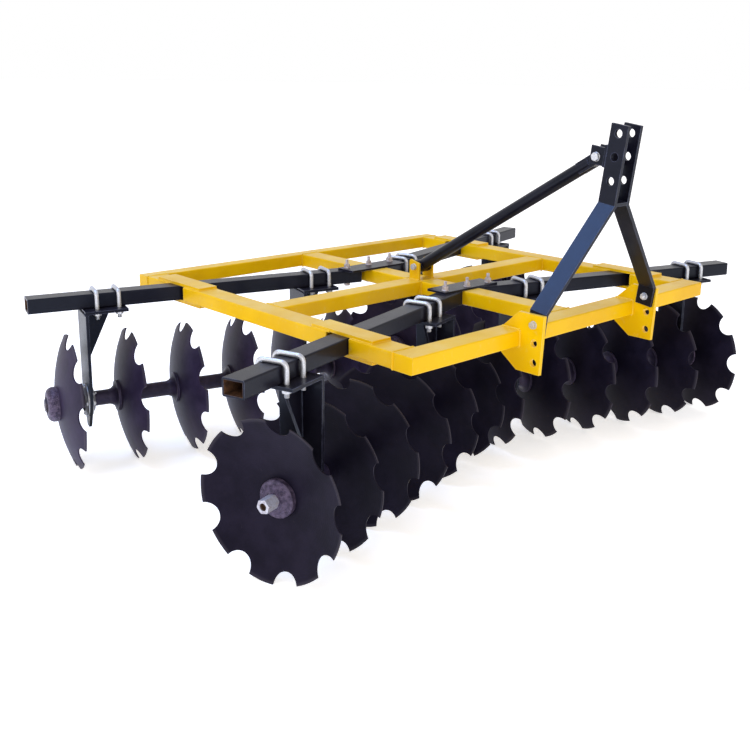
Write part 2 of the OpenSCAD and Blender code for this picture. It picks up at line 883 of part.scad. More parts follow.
module axle(end, side) {
  back = -(gang_discs - 1) * disc_pitch - cap_height + cap_recess_depth;
  front = disc_thick + washer_rim + boss_height;
  color(BLACK)
    on_axle(end, side)
      gang_from_hollow(end)
        difference() {
          union() {
            square_bore(back, front);
            translate([front, 0, 0])
              rotate([0, 90, 0])
                cylinder(d = axle_nut / cos(30), h = axle_nut_length, $fn = 6);
            translate([back - axle_head, 0, 0])
              rotate([0, 90, 0])
                cylinder(d = axle_head_flats / cos(30), h = axle_head, $fn = 6);
          }
          translate([front + axle_nut_length - axle_nut_depth, 0, 0])
            rotate([0, 90, 0])
              cylinder(d = axle_nut_hollow, h = axle_nut_length);
        }
}

front_rail();
rear_rail();
middle_rail();
centre_rails();
side_rail(RIGHT);  // side_rail_right
side_rail(LEFT);  // side_rail_left
slot_plates(RIGHT);  // slot_plates_right
slot_plates(LEFT);  // slot_plates_left
joint_plates();
joint_studs();
hitch_plate(RIGHT);  // hitch_plate_right
hitch_plate(LEFT);  // hitch_plate_left
brace_lugs();
mast_leg(RIGHT);  // mast_leg_right
mast_leg(LEFT);  // mast_leg_left
mast_bracket();
mast_brace();
mast_bolts();
beam(FRONT, RIGHT);  // beam_front_right
beam(FRONT, LEFT);  // beam_front_left
beam(REAR, RIGHT);  // beam_rear_right
beam(REAR, LEFT);  // beam_rear_left
hangers(FRONT, RIGHT);  // hangers_front_right
hangers(FRONT, LEFT);  // hangers_front_left
hangers(REAR, RIGHT);  // hangers_rear_right
hangers(REAR, LEFT);  // hangers_rear_left
u_bolts(FRONT, RIGHT);  // u_bolts_front_right
u_bolts(FRONT, LEFT);  // u_bolts_front_left
u_bolts(REAR, RIGHT);  // u_bolts_rear_right
u_bolts(REAR, LEFT);  // u_bolts_rear_left
bearings(FRONT, RIGHT);  // bearings_front_right
bearings(FRONT, LEFT);  // bearings_front_left
bearings(REAR, RIGHT);  // bearings_rear_right
bearings(REAR, LEFT);  // bearings_rear_left
axle(FRONT, RIGHT);  // axle_front_right
discs(FRONT, RIGHT);  // discs_front_right
spools(FRONT, RIGHT);  // spools_front_right
axle(FRONT, LEFT);  // axle_front_left
discs(FRONT, LEFT);  // discs_front_left
spools(FRONT, LEFT);  // spools_front_left
axle(REAR, RIGHT);  // axle_rear_right
discs(REAR, RIGHT);  // discs_rear_right
spools(REAR, RIGHT);  // spools_rear_right
axle(REAR, LEFT);  // axle_rear_left
discs(REAR, LEFT);  // discs_rear_left
spools(REAR, LEFT);  // spools_rear_left
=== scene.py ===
import json
import math
import bmesh
import bpy
from mathutils import Matrix, Quaternion, Vector


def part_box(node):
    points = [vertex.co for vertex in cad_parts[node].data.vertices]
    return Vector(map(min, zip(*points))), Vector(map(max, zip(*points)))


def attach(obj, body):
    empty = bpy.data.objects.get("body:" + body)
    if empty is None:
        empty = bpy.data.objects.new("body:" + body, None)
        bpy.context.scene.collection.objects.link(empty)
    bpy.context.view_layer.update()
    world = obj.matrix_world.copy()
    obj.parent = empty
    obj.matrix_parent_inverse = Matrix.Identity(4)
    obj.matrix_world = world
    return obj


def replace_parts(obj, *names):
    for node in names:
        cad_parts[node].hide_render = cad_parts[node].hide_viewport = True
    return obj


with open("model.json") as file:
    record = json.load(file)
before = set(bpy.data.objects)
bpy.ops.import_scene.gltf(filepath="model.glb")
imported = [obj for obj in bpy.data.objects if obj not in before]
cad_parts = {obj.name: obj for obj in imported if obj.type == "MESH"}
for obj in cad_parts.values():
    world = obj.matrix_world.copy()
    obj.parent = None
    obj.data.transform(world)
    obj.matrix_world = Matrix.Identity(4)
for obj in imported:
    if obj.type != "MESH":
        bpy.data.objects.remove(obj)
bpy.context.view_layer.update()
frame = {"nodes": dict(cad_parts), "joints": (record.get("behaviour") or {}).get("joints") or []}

# Floor, light and camera: a pale studio sweep under a bright even sky with three soft lamps, seen
# from the machine's front right corner at a standing height, as the photograph is.
floor_side, floor_rough, floor_glow = 300, 0.9, 0.52
bpy.ops.object.select_all(action="DESELECT")
bpy.ops.mesh.primitive_plane_add(size=floor_side, location=(0, 0, 0))
floor = bpy.context.object
floor.name = "studio_floor"
pale = bpy.data.materials.new("pale_floor")
pale.use_nodes = True
pale_sockets = pale.node_tree.nodes["Principled BSDF"].inputs
pale_sockets["Base Color"].default_value = (0.98, 0.98, 0.98, 1)
pale_sockets["Roughness"].default_value = floor_rough
pale_sockets["Emission Color"].default_value = (1, 1, 1, 1)
pale_sockets["Emission Strength"].default_value = floor_glow
floor.data.materials.append(pale)


class Wire:
    """A socket of a node tree, so that shader maths reads as sums."""

    def __init__(self, tree, socket):
        self.tree = tree
        self.socket = socket

    def feed(self, target, value):
        if isinstance(value, Wire):
            self.tree.links.new(value.socket, target)
        else:
            target.default_value = value

    def node(self, kind, settings=None, inputs=None, output=0):
        made = self.tree.nodes.new(kind)
        for name, value in (settings or {}).items():
            if name == "stops":
                for stop, (position, colour) in zip(made.color_ramp.elements, value):
                    stop.position = position
                    stop.color = colour
            else:
                setattr(made, name, value)
        for name, value in (inputs or {}).items():
            self.feed(made.inputs[name], value)
        return Wire(self.tree, made.outputs[output])

    def maths(self, operation, *terms):
        return self.node("ShaderNodeMath", {"operation": operation}, dict(enumerate(terms)))

    def __add__(self, other):
        return self.maths("ADD", self, other)

    def __radd__(self, other):
        return self.maths("ADD", other, self)

    def __sub__(self, other):
        return self.maths("SUBTRACT", self, other)

    def __rsub__(self, other):
        return self.maths("SUBTRACT", other, self)

    def __mul__(self, other):
        return self.maths("MULTIPLY", self, other)

    def __rmul__(self, other):
        return self.maths("MULTIPLY", other, self)

    def __pow__(self, other):
        return self.maths("POWER", self, other)

    def dot(self, other):
        return self.node("ShaderNodeVectorMath", {"operation": "DOT_PRODUCT"}, {0: self, 1: other}, "Value")

    def noise(self, scale, detail, rough=0.5):
        return self.node("ShaderNodeTexNoise", {},
                         {"Vector": self, "Scale": scale, "Detail": detail, "Roughness": rough})

    def step(self, low, high):
        """0 below low, 1 above high."""
        return self.node("ShaderNodeMapRange", {"interpolation_type": "SMOOTHSTEP"},
                         {"Value": self, "From Min": low, "From Max": high})

    def mix(self, under, over):
        """Colour between two, by this mask."""
        return self.node("ShaderNodeMix", {"data_type": "RGBA"}, {0: self, 6: under, 7: over}, 2)


horizon, zenith = (0.15, (1.0, 1.0, 1.0, 1)), (0.65, (0.74, 0.71, 0.72, 1))
world = bpy.data.worlds.new("studio_air")
world.use_nodes = True
air = world.node_tree
compass = Wire(air, air.nodes.new("ShaderNodeTexCoord").outputs["Generated"])
upward = compass.node("ShaderNodeSeparateXYZ", {}, {"Vector": compass}, "Z")
sky = upward.node("ShaderNodeValToRGB", {"stops": (horizon, zenith)}, {"Fac": upward}, "Color")
sky.feed(air.nodes["Background"].inputs["Color"], sky)
bpy.context.scene.world = world


def soft_light(name, place, target, size, power, tint):
    bpy.ops.object.light_add(type="AREA", location=place)
    lamp = bpy.context.object
    lamp.name = name
    lamp.data.shape = "DISK"
    lamp.data.size = size
    lamp.data.energy = power
    lamp.data.color = tint
    lamp.rotation_mode = "QUATERNION"
    lamp.rotation_quaternion = (Vector(target) - Vector(place)).to_track_quat("-Z", "Y")


soft_light("sky_sheen", (1.9, -1.35, 4.4), (0.15, 0.76, 0.82), 2.1, 125, (0.30, 0.50, 1.0))
soft_light("front_fill", (5.2, 10.2, 4.4), (0, 0.2, 0.4), 6.0, 290, (1.0, 0.95, 0.88))
soft_light("side_fill", (6.0, -0.5, 2.2), (0.4, -0.2, 0.3), 3.0, 52, (1.0, 0.96, 0.9))

photo_side, sensor = 750, 36
focal_px, centre_px, centre_py = 959.02, 432.63, 284.60
camera_place, camera_angles = (2.4336, 2.4334, 1.3257), (134.876, 12.135, 1.001)
bpy.ops.object.camera_add(location=camera_place)
camera = bpy.context.object
turn, rise, roll = (math.radians(angle) for angle in camera_angles)
back = Vector((math.sin(turn) * math.cos(rise), -math.cos(turn) * math.cos(rise), math.sin(rise)))
camera.rotation_mode = "QUATERNION"
camera.rotation_quaternion = (-back).to_track_quat("-Z", "Y") @ Quaternion((0, 0, 1), roll)
camera.data.sensor_width = sensor
camera.data.lens = focal_px * sensor / photo_side
camera.data.shift_x = (photo_side / 2 - centre_px) / photo_side
camera.data.shift_y = (centre_py - photo_side / 2) / photo_side
bpy.context.scene.camera = camera
bpy.context.scene.view_settings.view_transform = "Standard"


# Frame rails: rectangular steel tube, cut square and welded into a rectangle with a cross in
# it, then sprayed a golden yellow that has flowed to a slightly pebbled gloss.
def new_finish(name, **constants):
    """A material, its shader and the object's own coordinates, with constants on the shader's sockets."""
    material = bpy.data.materials.new(name)
    material.use_nodes = True
    tree = material.node_tree
    shader = tree.nodes["Principled BSDF"]
    for socket, value in constants.items():
        shader.inputs[socket.replace("_", " ")].default_value = value
    place = Wire(tree, tree.nodes.new("ShaderNodeTexCoord").outputs["Object"])
    return material, shader, place


def facing(place):
    """The way that each face looks."""
    return place.node("ShaderNodeNewGeometry", output="True Normal")


def edges(place, reach):
    """1 on edges and 0 on flats, by how far a normal that is rounded over that reach turns away."""
    rounded = place.node("ShaderNodeBevel", {"samples": 6}, {"Radius": reach})
    return (1.0 - facing(place).dot(rounded)).step(0.01, 0.2)


def rubbed_and_glinting_edges(place):
    """Edges paled in patches: wear from handling, and partly a painted highlight."""
    return edges(place, 0.004) * place.noise(35.0, 4.0, 0.6).step(0.3, 0.6)


def dust_and_top_sheen(place):
    """Faces that look up, paled: dust lying on them, thicker in drifts, and partly a painted sheen of the
    sky.
    """
    upward = place.node("ShaderNodeSeparateXYZ", {}, {0: facing(place)}, "Z")
    return upward.step(0.6, 0.95) * (0.3 + place.noise(11.0, 5.0, 0.6).step(0.35, 0.75))


bump_share = 0.6


def surface(place, shader, colour, roughness, height, depth, metal=None):
    """Colour, roughness, bumps of that depth in metres and, on bare metal, the share of metal."""
    place.feed(shader.inputs["Base Color"], colour)
    place.feed(shader.inputs["Roughness"], roughness)
    if metal is not None:
        place.feed(shader.inputs["Metallic"], metal)
    bump = place.node("ShaderNodeBump", {}, {"Strength": bump_share, "Distance": depth, "Height": height})
    place.feed(shader.inputs["Normal"], bump)


gold, deep_gold = (0.785, 0.465, 0.001, 1), (0.70, 0.392, 0.001, 1)
dusty_gold, rubbed_glint_gold, road_dust_and_sheen = (0.69, 0.485, 0.09, 1), (0.80, 0.62, 0.16, 1), (0.78, 0.66, 0.34, 1)
paint_peel = 0.0004
yellow_paint, shader, place = new_finish("yellow_paint", Specular_IOR_Level=0.08, Coat_Weight=0.16,
                                         Coat_Roughness=0.22)
cloud = place.noise(5.0, 4.0)
streak = place.noise(60.0, 2.0)
peel = place.noise(420.0, 2.0)
colour = cloud.step(0.35, 0.7).mix(gold, deep_gold)
colour = (streak.step(0.58, 0.8) * 0.35).mix(colour, dusty_gold)
# Edges are paled in patches: wear, and partly a painted highlight.
colour = (rubbed_and_glinting_edges(place) * 0.55).mix(colour, rubbed_glint_gold)
# Faces that look up are paled towards cream: dust, and partly a painted sheen.
colour = (dust_and_top_sheen(place) * 0.22).mix(colour, road_dust_and_sheen)
surface(place, shader, colour, 0.24 + 0.16 * cloud + 0.08 * streak, peel, paint_peel)

YELLOW_NODES = ("front_rail", "rear_rail", "middle_rail", "centre_rails", "side_rail_right",
                "side_rail_left", "slot_plates_right", "slot_plates_left", "hitch_plate_right",
                "hitch_plate_left")


def dress(node, material):
    mesh = frame["nodes"][node].data
    mesh.materials.clear()
    mesh.materials.append(material)


for node in YELLOW_NODES:
    dress(node, yellow_paint)


def only(piece):
    bpy.ops.object.select_all(action="DESELECT")
    piece.select_set(True)
    bpy.context.view_layer.objects.active = piece


def turn_out(smooth):
    """Faces outwards, out of edit mode, smooth up to an angle in degrees."""
    bpy.ops.mesh.select_all(action="SELECT")
    bpy.ops.mesh.normals_make_consistent(inside=False)
    bpy.ops.object.mode_set(mode="OBJECT")
    bpy.ops.object.shade_smooth_by_angle(angle=math.radians(smooth))


def draw_on(way, grow=1.0):
    """In edit mode, draws the selected end on by a vector and widens it."""
    bpy.ops.mesh.extrude_region_move(TRANSFORM_OT_translate={"value": way})
    bpy.ops.transform.resize(value=(grow, grow, 1))


frame_bead, ripple, ripple_share, bead_tip = 0.004, 0.0045, 0.55, 0.55
bead_start, bead_swell, bead_dip, bead_smooth = 1.75, 1.16, 0.86, 50


def weld_bead(length, size):
    """A bead along +Z from the origin: a round laid down in overlapping ripples."""
    rings = max(3, round(length / ripple))
    run = length / rings
    bpy.ops.object.select_all(action="DESELECT")
    bpy.ops.mesh.primitive_circle_add(vertices=10, radius=size * bead_tip, fill_type="NGON")
    bead = bpy.context.object
    bpy.ops.object.mode_set(mode="EDIT")
    for ring in range(rings):
        draw_on((0, 0, run * ripple_share), bead_swell if ring else bead_start)
        draw_on((0, 0, run * (1 - ripple_share)), bead_dip)
    turn_out(bead_smooth)
    return bead


BEADS = {}


def weld_line(start, end, size):
    """A copy of the bead of that length, laid from start to end."""
    start, end = Vector(start), Vector(end)
    run = end - start
    key = (round(run.length, 3), size)
    if key not in BEADS:
        BEADS[key] = weld_bead(run.length, size)
    only(BEADS[key])
    bpy.ops.object.duplicate()
    bead = bpy.context.object
    bead.data.transform(Matrix.Translation(start) @ run.to_track_quat("Z", "X").to_matrix().to_4x4())
    return bead


def gather(name, parts, material, body):
    """Joins parts into one piece that rides on a body."""
    only(parts[0])
    for part in parts:
        part.select_set(True)
    if len(parts) > 1:
        bpy.ops.object.join()
    piece = bpy.context.object
    piece.name = name
    piece.data.name = name
    piece.data.materials.clear()
    piece.data.materials.append(material)
    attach(piece, body)
    return piece


front_low, front_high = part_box("front_rail")
_, rear_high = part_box("rear_rail")
mid_low, mid_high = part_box("middle_rail")
core_low, core_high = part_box("centre_rails")
right_low, right_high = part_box("side_rail_right")
top, low = front_high.z, front_low.z
weld_sink = 0.001
weld_heights = (top - weld_sink, low + weld_sink)
lines = []
for y in (front_low.y, rear_high.y):
    for side in (-1, 1):
        inner, outer = side * right_low.x, side * right_high.x
        for x in (inner, outer):
            lines.append(((x, y, low), (x, y, top)))
        for z in weld_heights:
            lines.append(((inner, y, z), (outer, y, z)))
for side in (-1, 1):
    x = side * mid_high.x
    for y in (mid_low.y, mid_high.y):
        lines.append(((x, y, low), (x, y, top)))
    for z in weld_heights:
        lines.append(((x, mid_low.y, z), (x, mid_high.y, z)))
for y in (front_low.y, mid_high.y, mid_low.y, rear_high.y):
    for x in (core_low.x, core_high.x):
        lines.append(((x, y, low), (x, y, top)))
    for z in weld_heights:
        lines.append(((core_low.x, y, z), (core_high.x, y, z)))
seams = [weld_line(a, b, frame_bead) for a, b in lines]
gather("frame_welds", seams, yellow_paint, "frame")

# Splice plates: flat bars over and under each cut in the side rails, welded down along their
# edges so that the gang beam is boxed in between them.
splice_long, slot_clear, splice_bead = 0.270, 0.085, 0.0035
lines = []
for side in ("right", "left"):
    plates_low, plates_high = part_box("slot_plates_" + side)
    for y0 in (plates_low.y, plates_high.y - splice_long):
        y1 = y0 + splice_long
        for z in (top, low):
            for x in (plates_low.x, plates_high.x):
                lines.append(((x, y0, z), (x, y0 + slot_clear, z)))
                lines.append(((x, y1 - slot_clear, z), (x, y1, z)))
            for y in (y0, y1):
                lines.append(((plates_low.x, y, z), (plates_high.x, y, z)))
seams = [weld_line(a, b, splice_bead) for a, b in lines]
gather("splice_welds", seams, yellow_paint, "frame")


# Gang beams: rectangular steel tube enamelled black, set at an angle through the side rails,
# their outer ends left open so that the bare brown bore shows.
def gang_frame(end, side):
    """Matrix from the gang's own axes, which run out along its beam, forward and up from the floor."""
    joint = next(j for j in frame["joints"] if j["child"] == f"gang_{end}_{side}")
    out = Vector(joint["axis"])
    if out.x * (1 if side == "right" else -1) < 0:
        out = -out
    ahead = Vector((-out.y, out.x, 0))
    if ahead.y < 0:
        ahead = -ahead
    turned = Matrix((out, ahead, (0, 0, 1))).transposed().to_4x4()
    return Matrix.Translation((joint["pos_m"][0], joint["pos_m"][1], 0)) @ turned


def along_gang(place, end, side, height):
    """The object's coordinates along the gang, across it and up from that height, as three wires."""
    matrix = gang_frame(end, side)
    start = matrix.translation + Vector((0, 0, height))
    away = place.node("ShaderNodeVectorMath", {"operation": "SUBTRACT"}, {0: place, 1: start})
    return [away.dot(matrix.col[k].to_3d()) for k in range(3)]


def black_finish(name):
    return new_finish(name, Specular_IOR_Level=0.17, Specular_Tint=(0.55, 0.72, 1.0, 1), Coat_Weight=0.1,
                      Coat_Roughness=0.1)


jet, soot = (0.0035, 0.003, 0.006, 1), (0.007, 0.006, 0.011, 1)
grey_dust, dust_and_sheen_grey = (0.05, 0.044, 0.045, 1), (0.16, 0.15, 0.19, 1)
rubbed_glint_black = (0.10, 0.11, 0.17, 1)


def enamel(place):
    """Colour, roughness and height of black enamel with a little dust in it; its edges and upward faces are
    paled partly as a painted highlight and a painted sheen.
    """
    cloud = place.noise(7.0, 4.0)
    dust = place.noise(38.0, 5.0, 0.65)
    black = cloud.step(0.3, 0.7).mix(jet, soot)
    black = (dust.step(0.58, 0.85) * 0.2).mix(black, grey_dust)
    # Bluish paler edges: wear, and partly a painted highlight.
    black = (rubbed_and_glinting_edges(place) * 0.7).mix(black, rubbed_glint_black)
    # Lavender grey on faces that look up: a little dust, and partly a painted sheen.
    black = (dust_and_top_sheen(place) * 0.06).mix(black, dust_and_sheen_grey)
    return black, 0.2 + 0.14 * cloud + 0.12 * dust, place.noise(420.0, 2.0)


GANGS = [(end, side) for end in ("front", "rear") for side in ("right", "left")]
half_beam = (top - low) / 2
beam_wide, beam_back = 0.070, 0.010
bore_edge, paint_edge = half_beam - 0.0058, half_beam - 0.0052
old_rust, new_rust = (0.045, 0.022, 0.012, 1), (0.12, 0.058, 0.026, 1)
for end, side in GANGS:
    material, shader, place = black_finish(f"beam_enamel_{end}_{side}")
    _, across, upright = along_gang(place, end, side, (top + low) / 2)
    sideways = place.maths("ABSOLUTE", across + beam_back) - (beam_wide / 2 - half_beam)
    widest = place.maths("MAXIMUM", sideways, place.maths("ABSOLUTE", upright))
    bore = 1.0 - widest.step(bore_edge, paint_edge)
    black, rough, peel = enamel(place)
    rust = place.noise(90.0, 5.0, 0.7).step(0.35, 0.65).mix(old_rust, new_rust)
    surface(place, shader, bore.mix(black, rust), rough + 0.45 * bore, peel, paint_peel)
    dress(f"beam_{end}_{side}", material)

# Joint plates: flat bars over the beams' inner ends and the centre rail, each drawn down by
# three tall studs with stamped washers and hexagon nuts, a little browned.
black_paint, shader, place = black_finish("black_enamel")
black, rough, peel = enamel(place)
surface(place, shader, black, rough, peel, paint_peel)
dress("joint_plates", black_paint)

bolt_steel, bolt_brown, bolt_grain = (0.60, 0.55, 0.54, 1), (0.40, 0.30, 0.26, 1), 0.0003
browned, shader, place = new_finish("browned_bolt", Specular_IOR_Level=0.5)
bloom = place.noise(120.0, 5.0, 0.65)
brown = bloom.step(0.4, 0.7).mix(bolt_steel, bolt_brown)
bright = 0.6 - 0.4 * bloom.step(0.45, 0.75)
surface(place, shader, brown, 0.36 + 0.25 * bloom, bloom, bolt_grain, bright)


def carve(piece, tool, operation):
    """Applies a boolean with a tool piece, removes the tool and sets the piece at the origin."""
    only(piece)
    cut = piece.modifiers.new("carve", "BOOLEAN")
    cut.operation = operation
    cut.object = tool
    bpy.ops.object.modifier_apply(modifier=cut.name)
    bpy.data.objects.remove(tool)
    bpy.ops.object.transform_apply(location=True, rotation=True, scale=True)


blank_over, level = 1.16, 1e-6


def hexagon(across, height, chamfer=0.085):
    """A nut or head standing at the origin: a hexagon with both ends turned to a chamfer."""
    middle = (0, 0, height / 2)
    corner = across / 2 / math.cos(math.pi / 6)
    bpy.ops.object.select_all(action="DESELECT")
    bpy.ops.mesh.primitive_cylinder_add(vertices=6, radius=corner, depth=height, location=middle)
    nut = bpy.context.object
    bpy.ops.mesh.primitive_cylinder_add(vertices=48, radius=across / 2 * blank_over, depth=height,
                                        location=middle)
    turned = bpy.context.object
    bpy.ops.object.mode_set(mode="EDIT")
    bpy.ops.mesh.select_all(action="DESELECT")
    shape = bmesh.from_edit_mesh(turned.data)
    for edge in shape.edges:
        edge.select = abs(edge.verts[0].co.z - edge.verts[1].co.z) < level
    bmesh.update_edit_mesh(turned.data)
    bpy.ops.mesh.bevel(offset=across * chamfer, segments=2)
    bpy.ops.object.mode_set(mode="OBJECT")
    carve(nut, turned, "INTERSECT")
    return nut


def lathe(points, sides=48, smooth=35):
    """A ring about Z from a closed half section of (radius, height) points, circle by circle."""
    radius, height = points[0]
    bpy.ops.object.select_all(action="DESELECT")
    bpy.ops.mesh.primitive_circle_add(vertices=sides, radius=radius, location=(0, 0, height))
    ring = bpy.context.object
    bpy.ops.object.transform_apply(location=True)
    bpy.ops.object.mode_set(mode="EDIT")
    for next_radius, next_height in points[1:]:
        bpy.ops.mesh.extrude_region_move(TRANSFORM_OT_translate={"value": (0, 0, next_height - height)})
        grow = next_radius / radius
        bpy.ops.transform.resize(value=(grow, grow, 1), center_override=(0, 0, next_height))
        radius, height = next_radius, next_height
    bpy.ops.mesh.select_all(action="DESELECT")
    bpy.ops.mesh.select_non_manifold()
    bpy.ops.mesh.bridge_edge_loops()
    turn_out(smooth)
    return ring


washer_ease = 0.35


def washer(outer, hole, thick):
    ease = thick * washer_ease
    return lathe([(hole, 0), (outer, 0), (outer, thick - ease), (outer - ease, thick), (hole, thick)])


groove, tip_share, thread_smooth = 0.9, 0.8, 30


def cut_thread(length, pitch, up=1):
    """In edit mode, draws the selected end on along Z as a thread: a groove and a crest a turn."""
    turns = max(2, round(length / pitch))
    for _ in range(turns):
        for grow in (groove, 1 / groove):
            draw_on((0, 0, up * length / turns / 2), grow)


def threaded_end(diameter, length, pitch, plain=0.0):
    """A thread standing at the origin, on a plain shank where one is given, its tip chamfered."""
    bpy.ops.object.select_all(action="DESELECT")
    bpy.ops.mesh.primitive_circle_add(vertices=20, radius=diameter / 2, fill_type="NGON")
    rod = bpy.context.object
    bpy.ops.object.mode_set(mode="EDIT")
    if plain:
        draw_on((0, 0, plain))
    cut_thread(length - plain - pitch, pitch)
    draw_on((0, 0, pitch), tip_share)
    turn_out(thread_smooth)
    return rod


def copy_at(master, where):
    """A copy of a master piece with its own mesh, moved by a matrix, which may mirror it."""
    only(master)
    bpy.ops.object.duplicate()
    twin = bpy.context.object
    twin.data.transform(where)
    if where.determinant() < 0:
        twin.data.flip_normals()
    return twin


def put(place, up=(0, 0, 1), spin=0.0):
    """Matrix that stands a piece at a place, its own Z along up, turned by an angle about it."""
    return (Matrix.Translation(place) @ Vector(up).to_track_quat("Z", "X").to_matrix().to_4x4()
            @ Matrix.Rotation(spin, 4, "Z"))


def fused(*parts):
    only(parts[0])
    for part in parts:
        part.select_set(True)
    bpy.ops.object.join()
    return bpy.context.object


def drop(*masters):
    for master in masters:
        bpy.data.objects.remove(master)


_, plates_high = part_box("joint_plates")
stud_out, stud_row, stud_size, stud_up = 0.110, 0.020, 0.012, 0.032
stud_flats, stud_nut, stud_head, stud_ring = 0.020, 0.0125, 0.010, 0.0128
stud_turn, turn_along = 0.3, 7
ring_thick, pitch = 0.0025, 0.00175
nut, head = hexagon(stud_flats, stud_nut), hexagon(stud_flats, stud_head)
stud = fused(washer(stud_ring, stud_size / 2, ring_thick), copy_at(nut, put((0, 0, ring_thick))),
             threaded_end(stud_size, stud_up, pitch),
             copy_at(head, put((0, 0, low - plates_high.z), (0, 0, -1))))
drop(nut, head)
studs = []
for end, way in (("front", 1), ("rear", -1)):
    row = gang_frame(end, "right").translation.y + way * stud_row
    for x in (-stud_out, 0, stud_out):
        spot = (x, row, plates_high.z)
        studs.append(copy_at(stud, put(spot, spin=stud_turn + turn_along * x + way)))
drop(stud)
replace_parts(gather("joint_stud_set", studs, browned, "frame"), "joint_studs")

# Hangers: a top plate, a tapered leg and a gusset of flat bar, welded together and enamelled.
# Each hangs under its beam, one plate length to the inner or the outer side of its leg.
bar_thick, hanger_bead, bead_short = 0.010, 0.0045, 0.010
plate_under = low - bar_thick
plate_half, gusset_reach, gusset_drop = 0.072, 0.084, 0.182
LEGS = {"front": (0.976, 0.204), "rear": (1.082, 0.310)}


def hanger_frame(end, side, leg):
    """Matrix from a hanger's own axes: along its top plate from the leg, forward and up."""
    way = 1 if end == "front" else -1
    return gang_frame(end, side) @ Matrix.Translation((leg, 0, 0)) @ Matrix.Diagonal((way, 1, 1, 1))


face = bar_thick / 2
lines = []
for edge in (-face, face):
    lines.append(((edge, -plate_half, plate_under), (edge, plate_half, plate_under)))
    lines.append(((face, edge, plate_under), (gusset_reach, edge, plate_under)))
    lines.append(((face, edge, plate_under), (face, edge, plate_under - gusset_drop + bead_short)))
seams = fused(*[weld_line(a, b, hanger_bead) for a, b in lines])
for end, side in GANGS:
    dress(f"hangers_{end}_{side}", black_paint)
    copies = [copy_at(seams, hanger_frame(end, side, leg)) for leg in LEGS[end]]
    gather(f"hanger_welds_{end}_{side}", copies, black_paint, "frame")
drop(seams)

# U-bolts: round bar bent over the beam and down through the top plate, threaded at both tails,
# with a washer and a nut on each, all bright zinc that has gone a little cloudy.
bright_zinc, cloudy_zinc = (0.66, 0.67, 0.69, 1), (0.52, 0.53, 0.56, 1)
chalky_zinc, zinc_grain = (0.74, 0.73, 0.71, 1), 0.0002
zinc, shader, place = new_finish("zinc_plate", Specular_IOR_Level=0.5)
spangle = place.node("ShaderNodeTexVoronoi", {}, {"Vector": place, "Scale": 260.0})
bloom = place.noise(70.0, 4.0, 0.6)
grey = spangle.step(0.1, 0.7).mix(bright_zinc, cloudy_zinc)
grey = (bloom.step(0.55, 0.8) * 0.5).mix(grey, chalky_zinc)
bright = 0.75 - 0.4 * bloom.step(0.5, 0.8)
surface(place, shader, grey, 0.32 + 0.2 * bloom, bloom, zinc_grain, bright)

u_rod, u_half, u_bend, u_tail, u_thread, u_tip = 0.014, 0.046, 0.016, 0.026, 0.014, 0.001
u_first, u_pitch, u_nut, u_flats, u_ring = 0.040, 0.072, 0.0105, 0.022, 0.0138
u_turn, turn_across = 0.4, 9
u_foot, u_crown = plate_under - u_tail, top + u_rod / 2
u_shoulder, u_straight = u_crown - u_bend, u_half - u_bend
u_leg = u_shoulder - u_foot - u_thread - u_tip
bpy.ops.object.select_all(action="DESELECT")
bpy.ops.mesh.primitive_circle_add(vertices=18, radius=u_rod / 2 * tip_share, fill_type="NGON",
                                  location=(0, -u_half, u_foot))
u_bolt = bpy.context.object
bpy.ops.object.transform_apply(location=True)
bpy.ops.object.mode_set(mode="EDIT")
draw_on((0, 0, u_tip), 1 / tip_share)
cut_thread(u_thread, pitch)
draw_on((0, 0, u_leg))
bpy.ops.mesh.spin(steps=10, angle=math.pi / 2, center=(0, -u_straight, u_shoulder), axis=(1, 0, 0))
draw_on((0, 2 * u_straight, 0))
bpy.ops.mesh.spin(steps=10, angle=math.pi / 2, center=(0, u_straight, u_shoulder), axis=(1, 0, 0))
draw_on((0, 0, -u_leg))
cut_thread(u_thread, pitch, -1)
draw_on((0, 0, -u_tip), tip_share)
turn_out(thread_smooth)
nut, ring = hexagon(u_flats, u_nut), washer(u_ring, u_rod / 2, ring_thick)
for y in (-u_half, u_half):
    nut_spot = put((0, y, plate_under - ring_thick), (0, 0, -1), u_turn + turn_across * y)
    u_bolt = fused(u_bolt, copy_at(ring, put((0, y, plate_under), (0, 0, -1))), copy_at(nut, nut_spot))
drop(nut, ring)
for end, side in GANGS:
    spots = [hanger_frame(end, side, leg) @ Matrix.Translation((u_first + k * u_pitch, -beam_back, 0))
             for leg in LEGS[end] for k in (0, 1)]
    copies = [copy_at(u_bolt, spot) for spot in spots]
    piece = gather(f"u_bolt_set_{end}_{side}", copies, zinc, "frame")
    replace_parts(piece, f"u_bolts_{end}_{side}")
drop(u_bolt)

# Bearings: two pressed flanges, dished over the race, clamp the hanger's leg with four bolts;
# a dark seal fills the gap round the turning spool and a nipple takes the grease.
axle_height = frame["joints"][0]["pos_m"][2]
FLANGE = ((0.041, 0), (0.056, 0), (0.056, 0.003), (0.055, 0.004), (0.0472, 0.004), (0.0445, 0.0056),
          (0.0428, 0.009), (0.0405, 0.0115), (0.0372, 0.0122), (0.0372, 0.0105), (0.0392, 0.010),
          (0.041, 0.007))
NIPPLE = ((0.0004, 0), (0.0042, 0), (0.0042, 0.004), (0.0022, 0.0045), (0.0022, 0.0075), (0.003, 0.0085),
          (0.003, 0.010), (0.0014, 0.0115), (0.0004, 0.0115))
SEAL = ((0.0262, -0.019), (0.0312, -0.019), (0.032, -0.0162), (0.037, -0.0156), (0.037, 0.0156),
        (0.032, 0.0162), (0.0312, 0.019), (0.0262, 0.019))
flange_thick, flange_circle, flange_flats, flange_head = 0.004, 0.048, 0.012, 0.0055
